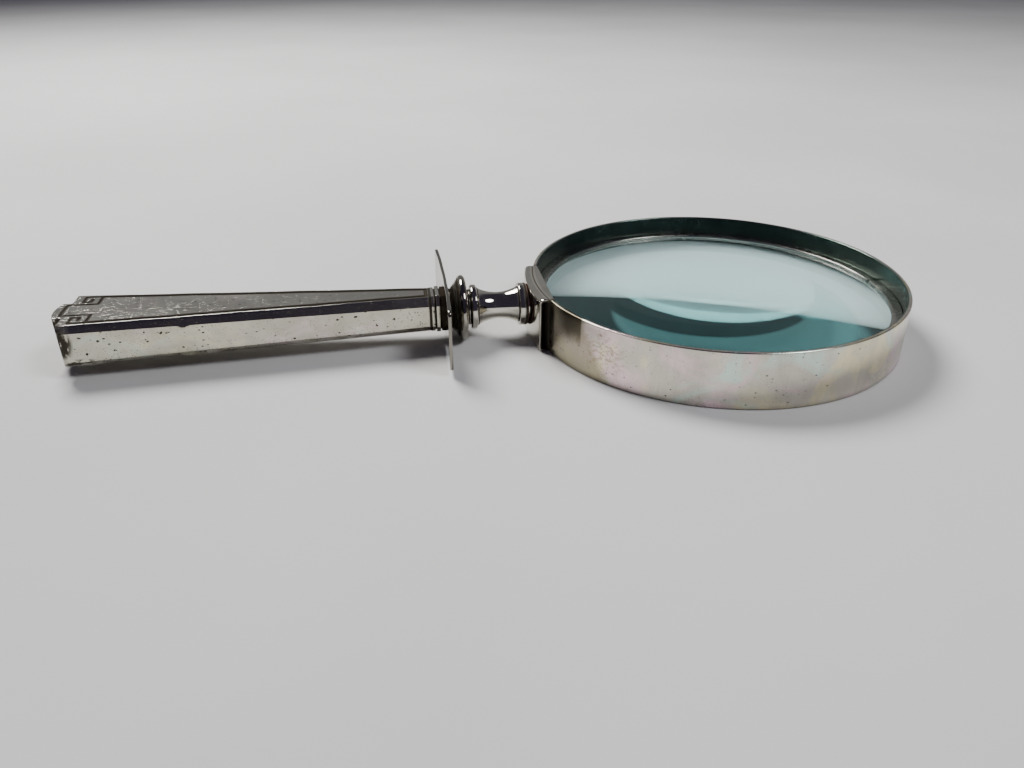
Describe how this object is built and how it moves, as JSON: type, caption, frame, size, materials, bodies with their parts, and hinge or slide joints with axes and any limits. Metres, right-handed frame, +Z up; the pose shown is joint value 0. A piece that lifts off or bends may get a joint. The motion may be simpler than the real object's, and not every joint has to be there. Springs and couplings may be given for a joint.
{
  "type": "magnifying glass",
  "caption": "Hand-held reading lens: round bi-convex glass in a tall plated hoop, screwed to a turned neck with a guard and a tapering eight-sided handle with key-pattern corners.",
  "frame": {"origin": "centre of the object's footprint, on the surface it lies on", "axes": "+X along the handle towards the lens, +Z up through the lens as it lies flat"},
  "size_m": [0.2298, 0.104, 0.0181],
  "materials": {
    "tarnished_silver_hoop": "silver plate with pale tarnish",
    "lens_glass": "clear, faint blue-green",
    "silver_ring": "satin",
    "polished_silver": "polished",
    "brass_nut": "dull",
    "red_fibre": "matte",
    "steel_rod": "turned",
    "worn_silver": "worn polish with pits",
    "pitch": "dull"
  },
  "bodies": {
    "hoop": {"bezel_band": "tarnished_silver_hoop", "lens": "lens_glass", "lens_seat_ring": "silver_ring", "lens_retaining_ring": "silver_ring", "mount_bar": "polished_silver", "captive_nut": "brass_nut", "neck_boss": "polished_silver"},
    "washer": {"neck_washer": "red_fibre"},
    "handle": {"tang_rod": "steel_rod", "neck_collar": "polished_silver", "neck_stem": "polished_silver", "neck_flange": "polished_silver", "neck_bead": "polished_silver", "neck_knop": "polished_silver", "guard_plate": "polished_silver", "handle_bolster": "worn_silver", "clamp_nut": "steel_rod", "handle_filler": "pitch", "handle_shell_top": "worn_silver", "handle_shell_bottom": "worn_silver"}
  },
  "joints": [
    {"name": "unscrew_travel", "type": "slide", "parent": "hoop", "child": "washer", "axis": [-1, 0, 0], "range_m": [0, 0.0035]},
    {"name": "unscrew_turn", "type": "hinge", "parent": "washer", "child": "handle", "pos_m": [0.00805, 0, 0.009], "axis": [-1, 0, 0], "range_deg": [0, 1802]}
  ],
  "couplings": [
    {"joint": "unscrew_turn", "follows": "unscrew_travel", "rad_per_m": 8976}
  ]
}
